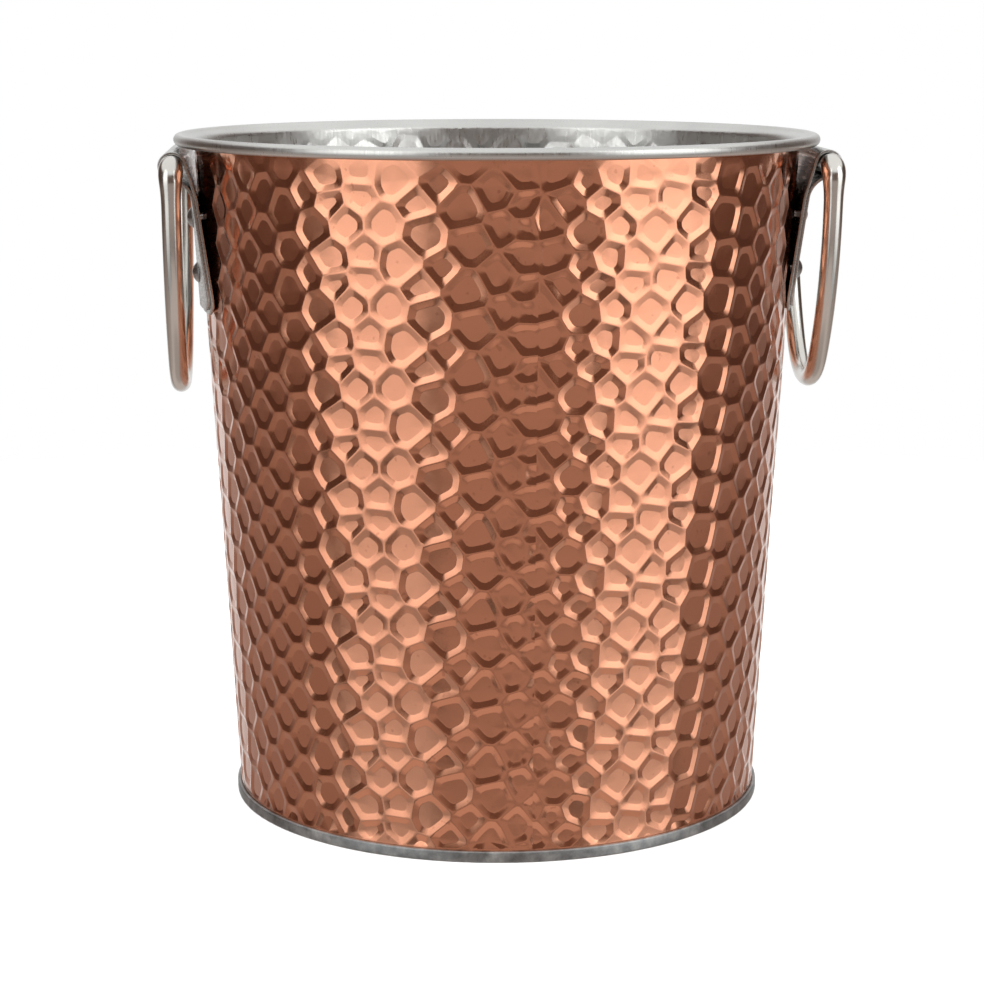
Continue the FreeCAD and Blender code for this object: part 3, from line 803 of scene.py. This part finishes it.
def bracket_line(y):
    """Mid-thickness line of the folded strip in the plane at y, as (x, z) from end to end."""
    bar = Vector((PIVOT_REACH, PIVOT_HEIGHT))
    low, up, outward = leaf_line(y)
    inner_back = THROAT + 2 * BRACKET_SHEET + LEAF_GAP
    base = low + outward * inner_back - bar
    reach = BARREL + THROAT
    along = -base.dot(up) - math.sqrt(base.dot(up) ** 2 - base.length_squared + reach**2)
    throat = low + outward * inner_back + up * along
    to_bar = bar - throat
    toward = math.atan2(to_bar.y, to_bar.x)
    leaf = math.atan2(-outward.y, -outward.x) % (2 * math.pi)
    leaning = toward + math.acos((inner_back - BARREL) / reach)
    half = BRACKET_SHEET / 2

    def polar(centre, radius, angle):
        return centre + Vector((math.cos(angle), math.sin(angle))) * radius

    def leaf_run(radius, bottom, steps):
        top = polar(throat, radius, leaf)
        foot = top + up * ((bottom - top.y) / up.y)
        return [foot.lerp(top, step / steps) for step in range(steps)]

    def sweep(centre, radius, start, end, steps):
        return [polar(centre, radius, start + (end - start) * step / steps) for step in range(steps)]

    line = leaf_run(inner_back - half, INNER_LEAF_BOTTOM, 14)
    line += sweep(throat, inner_back - half, leaf, leaning, 4)
    bend, barrel = polar(throat, inner_back - half, leaning), polar(bar, BARREL - half, leaning)
    line += [bend.lerp(barrel, step / 4) for step in range(4)]
    line += sweep(bar, BARREL - half, leaning, toward - math.pi, 22)
    line += sweep(throat, THROAT + half, toward, leaf, 12)
    line += leaf_run(THROAT + half, OUTER_LEAF_BOTTOM, 14)[::-1]
    return line


def build_bracket(hand, side):
    """A folded strip: a grid along its section and across its width, thickened and eased."""
    steps = 28
    material = bare_steel(f"satin_bracket_{hand}", (0.62, 0.62, 0.605), 0.28, (1, 0.06, 1))
    half_widths = []
    reference = bracket_line(0.0)
    lengths = [0.0]
    for a, b in zip(reference, reference[1:]):
        lengths.append(lengths[-1] + (b - a).length)
    points, faces = [], []
    for along in lengths:
        from_end = min(along, lengths[-1] - along)
        inset = max(0.0, LEAF_CORNER - from_end)
        corner = math.sqrt(max(0.0, LEAF_CORNER**2 - inset**2))
        half_widths.append(BRACKET_HALF - LEAF_CORNER + corner)
    sections = {}
    for k, half in enumerate(half_widths):
        for step in range(steps + 1):
            y = half * (2 * step / steps - 1)
            key = round(y * 1e6)
            if key not in sections:
                sections[key] = bracket_line(y)
            x, z = sections[key][k]
            points.append((side * x, side * y, z))
    for k in range(len(half_widths) - 1):
        for step in range(steps):
            a = k * (steps + 1) + step
            faces.append((a, a + 1, a + steps + 2, a + steps + 1))
    piece = smooth_object(f"folded_bracket_{hand}", points, faces, material)
    solid = piece.modifiers.new("thickness", "SOLIDIFY")
    solid.thickness = BRACKET_SHEET
    solid.offset = 0.0
    ease = piece.modifiers.new("eased_edges", "BEVEL")
    ease.width = 0.18 * MM
    ease.segments = 2
    ease.angle_limit = math.radians(50)
    finish_piece(piece, "bucket", f"bracket_{hand}")


# ---- ring handles -----------------------------------------------------------------------------

ROD = 3.15 * MM
KNUCKLE = 3.95 * MM
RING_HALF = 39.0 * MM
RING_DROP = 74.0 * MM
RING_FOOT = 24.0 * MM
RING_CORNER = 5.0 * MM
KNUCKLE_INSET, KNUCKLE_SPREAD = 1.46 * MM, 5.5 * MM


def ring_path():
    """Centre line of the ring in its plane, about the bar."""
    rise = RING_DROP - RING_FOOT - RING_CORNER
    side = (RING_HALF**2 + rise**2 - RING_FOOT**2) / (2 * (RING_HALF - RING_FOOT))
    join = math.atan2(rise, side - RING_HALF)
    half = []
    bar_end = RING_HALF - RING_CORNER
    half += [(bar_end * step / 10, 0.0) for step in range(10)]
    half += [
        (bar_end + RING_CORNER * math.sin(t), -RING_CORNER + RING_CORNER * math.cos(t))
        for t in (math.pi / 2 * step / 12 for step in range(12))
    ]
    half += [
        (RING_HALF - side + side * math.cos(t), -RING_CORNER - side * math.sin(t))
        for t in (join * step / 40 for step in range(40))
    ]
    half += [
        (RING_FOOT * math.cos(t), RING_FOOT - RING_DROP - RING_FOOT * math.sin(t))
        for t in (join + (math.pi / 2 - join) * step / 20 for step in range(21))
    ]
    other = [(-u, v) for u, v in half[1:-1]][::-1]
    return half + other


def build_ring(hand, side):
    """A closed ring of round rod, swollen at the two bends beside its straight bar."""
    path = ring_path()
    pivot = PIVOTS[f"handle_{hand}"]
    count, around = len(path), 28
    knuckle = Vector((RING_HALF - KNUCKLE_INSET, -KNUCKLE_INSET))
    points, faces = [], []
    for k in range(count):
        u, v = path[k]
        here = Vector((u, v))
        before, after = Vector(path[k - 1]), Vector(path[(k + 1) % count])
        tangent = (after - before).normalized()
        normal = Vector((-tangent.y, tangent.x))
        gap = (Vector((abs(u), v)) - knuckle).length
        swell = math.exp(-((gap / KNUCKLE_SPREAD) ** 2))
        radius = ROD + (KNUCKLE - ROD) * swell
        for s in range(around):
            turn = 2 * math.pi * s / around
            across = here + normal * (radius * math.cos(turn))
            out = side * radius * math.sin(turn)
            points.append((pivot.x + out, side * across.x, pivot.z + across.y))
    for k in range(count):
        a, b = k * around, (k + 1) % count * around
        for s in range(around):
            n = (s + 1) % around
            faces.append((a + s, a + n, b + n, b + s))
    material = bare_steel(f"satin_ring_{hand}", (0.77, 0.745, 0.70), 0.18, (1, 1, 1))
    piece = smooth_object(f"ring_rod_{hand}", points, faces, material)
    finish_piece(piece, f"handle_{hand}", f"ring_handle_{hand}")


# ---- rivets -----------------------------------------------------------------------------------


def build_rivets():
    """Four rivets a bracket: round head outside, shank through the leaves, flat tail inside."""
    material = bare_steel("rivet_steel", (0.55, 0.56, 0.56), 0.22, (1, 1, 1))
    head, head_height, shank = 3.4 * MM, 1.9 * MM, 1.6 * MM
    tail, tail_height, brim = 2.7 * MM, 0.8 * MM, 0.25 * MM
    stack = 2 * BRACKET_SHEET + LEAF_GAP + 2 * SEAM_GAP
    grip = SHEET + EMBOSS_DEPTH + 0.55 * MM
    dome = (head**2 + head_height**2) / (2 * head_height)
    outline = [
        (0.0, -grip - tail_height),
        (tail * 0.55, -grip - tail_height * 0.98),
        (tail * 0.86, -grip - tail_height * 0.75),
        (tail, -grip - tail_height * 0.35),
        (tail * 0.97, -grip),
        (shank, -grip),
        (shank, stack),
        (head * 0.97, stack),
        (head, stack + 0.18 * MM),
    ]
    top = stack + head_height
    for step in range(1, 10):
        height = brim + (head_height - brim) * math.sin(math.pi / 2 * step / 9)
        drop = head_height - height
        outline.append((math.sqrt(max(0.0, dome**2 - (dome - drop) ** 2)), top - drop))
    leaves = 2 * BRACKET_SHEET + LEAF_GAP

    def seat(y, z):
        low, up, outward = leaf_line(y)
        here = low + outward * leaves + up * ((z - low.y) / up.y)
        return Vector((here.x, y, here.y))

    for hand, turn in (("left", math.pi), ("right", 0.0)):
        for level, height in (("upper", RIVET_UPPER), ("lower", RIVET_LOWER)):
            for end, front in (("front", -1), ("back", 1)):
                y = front * RIVET_SPREAD * (1 if turn == 0 else -1)
                _, up, _ = leaf_line(y)
                along = seat(y + 0.5 * MM, height) - seat(y - 0.5 * MM, height)
                normal = along.cross(Vector((up.x, 0, up.y))).normalized()
                foot = seat(y, height) - normal * (leaves + SEAM_GAP)
                lean = normal.to_track_quat("Z", "Y").to_matrix().to_4x4()
                node = f"rivet_{hand}_{level}_{end}"
                piece = lathe(f"round_head_{node}", outline, 40, material, closed=False)
                weld(piece, 0.002 * MM)
                spin = Matrix.Rotation(turn, 4, "Z")
                piece.data.transform(spin @ Matrix.Translation(foot) @ lean)
                finish_piece(piece, "bucket", node)


# ---- stage, lights and camera -----------------------------------------------------------------

CAMERA_DISTANCE = 0.8476
CAMERA_HEIGHT = 0.263
CAMERA_AZIMUTH = math.radians(-94.0)
PITCH = 0.1874
OFF_AXIS = math.radians(0.10728)  # how far the view is turned away from the bucket's axis
SENSOR, LENS = 36.0, 91.8366  # in millimetres


def build_camera():
    """The photo's view: in front, a little to the left of the axis and above the rim."""
    data = bpy.data.cameras.new("camera")
    data.sensor_width = SENSOR
    data.lens = LENS
    data.clip_start = 0.01
    camera = bpy.data.objects.new("camera", data)
    bpy.context.collection.objects.link(camera)
    place = Vector((math.cos(CAMERA_AZIMUTH), math.sin(CAMERA_AZIMUTH), 0)) * CAMERA_DISTANCE
    place.z = CAMERA_HEIGHT
    camera.location = place
    heading = math.atan2(-place.y, -place.x) + OFF_AXIS
    level = math.cos(PITCH)
    look = Vector((math.cos(heading) * level, math.sin(heading) * level, -math.sin(PITCH)))
    camera.rotation_euler = look.to_track_quat("-Z", "Y").to_euler()
    bpy.context.scene.camera = camera


def floor_lamp(height, width, radiance):
    """A square soft lamp straight above, which lights the floor and shows in no reflection."""
    data = bpy.data.lights.new("floor_lamp", "AREA")
    data.shape = "RECTANGLE"
    data.size, data.size_y = width, width
    data.energy = radiance * math.pi * width * width
    light = bpy.data.objects.new("floor_lamp", data)
    bpy.context.collection.objects.link(light)
    light.location = (0, 0, height)
    light.rotation_euler = Vector((0, 0, -height)).to_track_quat("-Z", "Y").to_euler()
    light.visible_glossy = False
    light.visible_camera = False


# Glowing panels: how far off, the heights between which they brighten, the flat share of their
# width, and what is left at their edges.
PANEL_DISTANCE = 1.3
PANEL_FADE = (-0.6, 0.45)
PANEL_FLAT, PANEL_RIM = 0.62, 0.12


def direction(azimuth):
    """Unit vector at an angle round the bucket, seen from above; 0 is towards the camera."""
    turn = CAMERA_AZIMUTH + math.radians(azimuth)
    return Vector((math.cos(turn), math.sin(turn), 0))


def tall_softbox(name, azimuth, half_angle, low, high, strengths):
    """An upright glowing panel facing the bucket, dimmer towards its foot and its sides."""
    half = PANEL_DISTANCE * math.tan(math.radians(half_angle))
    n = Nodes(name)
    coordinates = n.tree.nodes.new("ShaderNodeTexCoord")
    split = n.add("ShaderNodeSeparateXYZ", Vector=coordinates.outputs["Object"])
    dim, full = PANEL_FADE
    ends = {"To_Min": strengths[0], "To_Max": strengths[1]}
    rise = n.add("ShaderNodeMapRange", Value=split.outputs["Z"], From_Min=dim, From_Max=full, **ends)
    across = n.add("ShaderNodeMath", Value=split.outputs["Y"])
    across.operation = "ABSOLUTE"
    ends = {"From_Min": half * PANEL_FLAT, "From_Max": half, "To_Min": 1.0, "To_Max": PANEL_RIM}
    edge = n.add("ShaderNodeMapRange", Value=across.outputs[0], **ends)
    edge.interpolation_type = "SMOOTHSTEP"
    power = n.add("ShaderNodeMath", Value=rise.outputs["Result"])
    power.operation = "MULTIPLY"
    n.tree.links.new(edge.outputs["Result"], power.inputs[1])
    glow = n.tree.nodes.new("ShaderNodeEmission")
    n.tree.links.new(power.outputs[0], glow.inputs["Strength"])
    n.tree.links.new(glow.outputs[0], n.tree.nodes["Material Output"].inputs["Surface"])
    n.tree.nodes.remove(n.shader)
    points = [(0, -half, low), (0, half, low), (0, half, high), (0, -half, high)]
    panel = smooth_object(name, points, [(0, 1, 2, 3)], n.material)
    panel.location = direction(azimuth) * PANEL_DISTANCE
    panel.rotation_euler = (0, 0, CAMERA_AZIMUTH + math.radians(azimuth))
    panel.visible_camera = False


FLOOR_SIZE, FLOOR_SIDES = 0.7, 96


def build_floor():
    """A plain pale round floor."""
    n = Nodes("pale_floor")
    cloud = n.noise((1, 1, 1), 6.0, 2.0)
    n.link(n.ramp(cloud, [(0.3, (0.86, 0.86, 0.86)), (0.7, (0.88, 0.88, 0.88))]), "Base Color")
    n.shader.inputs["Roughness"].default_value = 0.7
    n.shader.inputs["Specular IOR Level"].default_value = 0.0
    turns = [2 * math.pi * k / FLOOR_SIDES for k in range(FLOOR_SIDES)]
    points = [(FLOOR_SIZE * math.cos(t), FLOOR_SIZE * math.sin(t), 0) for t in turns]
    floor = smooth_object("floor", points, [tuple(range(FLOOR_SIDES))], n.material)
    floor.visible_glossy = False


# The room that the bucket mirrors. Each level is where it starts and ends, as the sine of the
# elevation, and its colour: in front of the bucket, and at its sides.
FRONT_ABOVE, SIDE_ABOVE = (0.15, 0.105, 0.085), (0.085, 0.056, 0.045)
FRONT_LEVELS = (
    (-0.06, -0.18, (0.42, 0.355, 0.325)),
    (-0.30, -0.46, (0.31, 0.262, 0.240)),
    (-0.48, -0.60, (0.58, 0.50, 0.46)),
)
SIDE_LEVELS = (
    (-0.02, -0.16, (0.12, 0.082, 0.067)),
    (-0.15, -0.28, (0.31, 0.25, 0.225)),
    (-0.38, -0.50, (0.38, 0.32, 0.29)),
)
FRONT_TO_SIDE = (0.55, 0.85)
BELOW = (-0.84, -0.94, (0.42, 0.36, 0.33))
BEHIND = (-0.74, -0.97, (0.9, 0.9, 0.9))
OVERHEAD = (0.42, 0.58, (1.0, 1.0, 1.0))


def build_world():
    """White behind the bucket as the camera sees it; a dim warm room as the bucket mirrors it."""
    world = bpy.data.worlds.new("studio")
    bpy.context.scene.world = world
    world.use_nodes = True
    tree = world.node_tree
    tree.nodes.clear()

    def share(value, start, end):
        made = add_node(tree, "ShaderNodeMapRange", Value=value, From_Min=start, From_Max=end)
        made.interpolation_type = "SMOOTHSTEP"
        return made.outputs["Result"]

    def layered(value, colour, *levels):
        """The colour, blended into that of each level in turn as the value passes it."""
        for start, end, level in levels:
            if isinstance(colour, tuple):
                colour = (*colour, 1.0)
            colour = mix_colours(tree, share(value, start, end), colour, (*level, 1.0))
        return colour

    coordinates = add_node(tree, "ShaderNodeTexCoord")
    turned = add_node(tree, "ShaderNodeMapping", Vector=coordinates.outputs["Generated"])
    turned.inputs["Rotation"].default_value = (0, 0, -CAMERA_AZIMUTH)
    split = add_node(tree, "ShaderNodeSeparateXYZ", Vector=turned.outputs["Vector"])
    near, across, up = split.outputs
    aside = add_node(tree, "ShaderNodeMath", Value=across)
    aside.operation = "ABSOLUTE"
    front = layered(up, FRONT_ABOVE, *FRONT_LEVELS)
    side = layered(up, SIDE_ABOVE, *SIDE_LEVELS)
    room = mix_colours(tree, share(aside.outputs[0], *FRONT_TO_SIDE), front, side)
    room = layered(up, room, BELOW)
    room = layered(near, room, BEHIND)
    room = layered(up, room, OVERHEAD)
    path = add_node(tree, "ShaderNodeLightPath")
    room = mix_colours(tree, path.outputs["Is Camera Ray"], room, (1.0, 1.0, 1.0, 1.0))
    glow = add_node(tree, "ShaderNodeBackground", Color=room)
    out = add_node(tree, "ShaderNodeOutputWorld")
    tree.links.new(glow.outputs[0], out.inputs["Surface"])


def build_lights():
    """Two tall panels, whose reflections are the bright stripes, and the lamp over the floor."""
    tall_softbox("softbox_left", -46, 24, -0.9, 1.5, (0.42, 1.75))
    tall_softbox("softbox_right", 59.5, 25.5, -0.9, 1.5, (0.50, 2.1))
    floor_lamp(2.2, 4.0, 3.0)


# ---- everything -------------------------------------------------------------------------------

build_camera()
build_floor()
build_world()
build_lights()
build_side_wall()
build_base_pan()
dress_hidden_nodes()
for hand, side in (("left", -1), ("right", 1)):
    build_bracket(hand, side)
    build_ring(hand, side)
build_rivets()

bpy.context.scene.view_settings.view_transform = "Standard"
